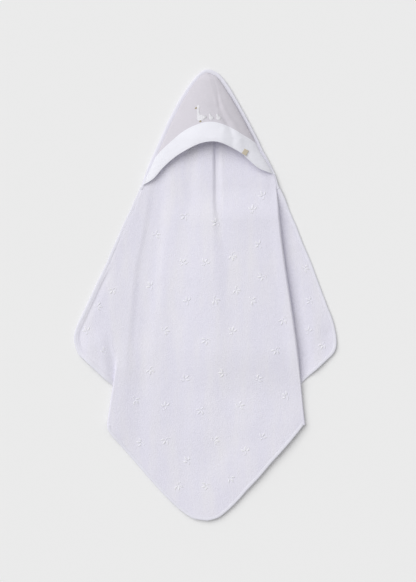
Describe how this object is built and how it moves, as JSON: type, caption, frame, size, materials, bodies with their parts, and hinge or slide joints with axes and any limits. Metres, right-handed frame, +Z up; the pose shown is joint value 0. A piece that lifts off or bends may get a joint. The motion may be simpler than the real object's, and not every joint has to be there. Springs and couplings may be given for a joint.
{
  "type": "hooded baby towel",
  "caption": "Hooded terry towel for a baby, laid flat with the hood up: a bound square of terry with side pleats, a woven hood front with a band and a small woven tab.",
  "frame": {"origin": "middle of the towel's outline as laid out, on the surface it rests on", "axes": "+Y runs from the bottom corner to the hood's tip, +X to the wearer's left wing as seen from the front (the right of the picture), +Z up out of the hood's front"},
  "size_m": [0.6036, 1.0372, 0.0494],
  "materials": {
    "terry": "cotton terry with loops on both faces, pale lavender white, matt",
    "binding": "cotton bias binding, white, matt",
    "band": "plain woven cotton band, white, matt",
    "woven_grey": "plain woven cotton, pale warm grey, matt",
    "thread": "cotton sewing and embroidery thread, white, slight sheen",
    "tan_thread": "embroidery thread and woven tape, tan, slight sheen"
  },
  "bodies": {
    "centre": {"centre_panel": "terry"},
    "bottom_flap": {"bottom_flap_panel": "terry", "bottom_flap_binding": "binding", "bottom_flap_topstitch": "thread"},
    "left_wing": {"left_wing_panel": "terry", "left_wing_binding": "binding", "left_wing_topstitch": "thread"},
    "right_pleat": {"right_pleat_panel": "terry", "right_pleat_binding": "binding"},
    "right_wing": {"right_wing_panel": "terry", "right_wing_binding": "binding", "right_wing_topstitch": "thread"},
    "hood": {"hood_back_panel": "terry", "hood_lining": "terry", "hood_front_panel": "woven_grey", "hood_band": "band", "hood_band_seam_topstitch": "thread", "hood_band_mouth_topstitch": "thread", "hood_edge_binding": "binding", "hood_edge_topstitch": "thread", "embroidery_duck": "thread", "embroidery_duck_beak": "tan_thread", "embroidery_duck_feet": "tan_thread", "embroidery_duckling_front": "thread", "embroidery_duckling_back": "thread"},
    "tab": {"woven_tab": "tan_thread"}
  },
  "joints": [
    {"name": "hood_lift", "type": "hinge", "parent": "centre", "child": "hood", "pos_m": [0.00285, 0.24901, 0.016], "axis": [1, 0, 0], "range_deg": [0, 90]},
    {"name": "bottom_flap_fold", "type": "hinge", "parent": "centre", "child": "bottom_flap", "pos_m": [0.00285, -0.298, 0.02], "axis": [-1, 0, 0], "range_deg": [0, 170]},
    {"name": "left_wing_wrap", "type": "hinge", "parent": "centre", "child": "left_wing", "pos_m": [-0.17997, -0.001, 0.016], "axis": [0.1496, 0.9888, 0], "range_deg": [0, 170]},
    {"name": "right_pleat_open", "type": "hinge", "parent": "centre", "child": "right_pleat", "pos_m": [0.16135, 0.261, 0.0075], "axis": [0.1209, -0.9926, 0.0054], "range_deg": [0, 176]},
    {"name": "right_wing_unfold", "type": "hinge", "parent": "right_pleat", "child": "right_wing", "pos_m": [0.16135, 0.261, 0.0075], "axis": [-0.0334, 0.9994, 0.0054], "range_deg": [0, 176]},
    {"name": "tab_flip", "type": "hinge", "parent": "hood", "child": "tab", "pos_m": [0.09754, 0.33333, 0.02975], "axis": [-0.787, 0.5625, 0.2535], "range_deg": [0, 150]}
  ],
  "couplings": [
    {"joint": "right_wing_unfold", "follows": "right_pleat_open", "ratio": 1}
  ]
}
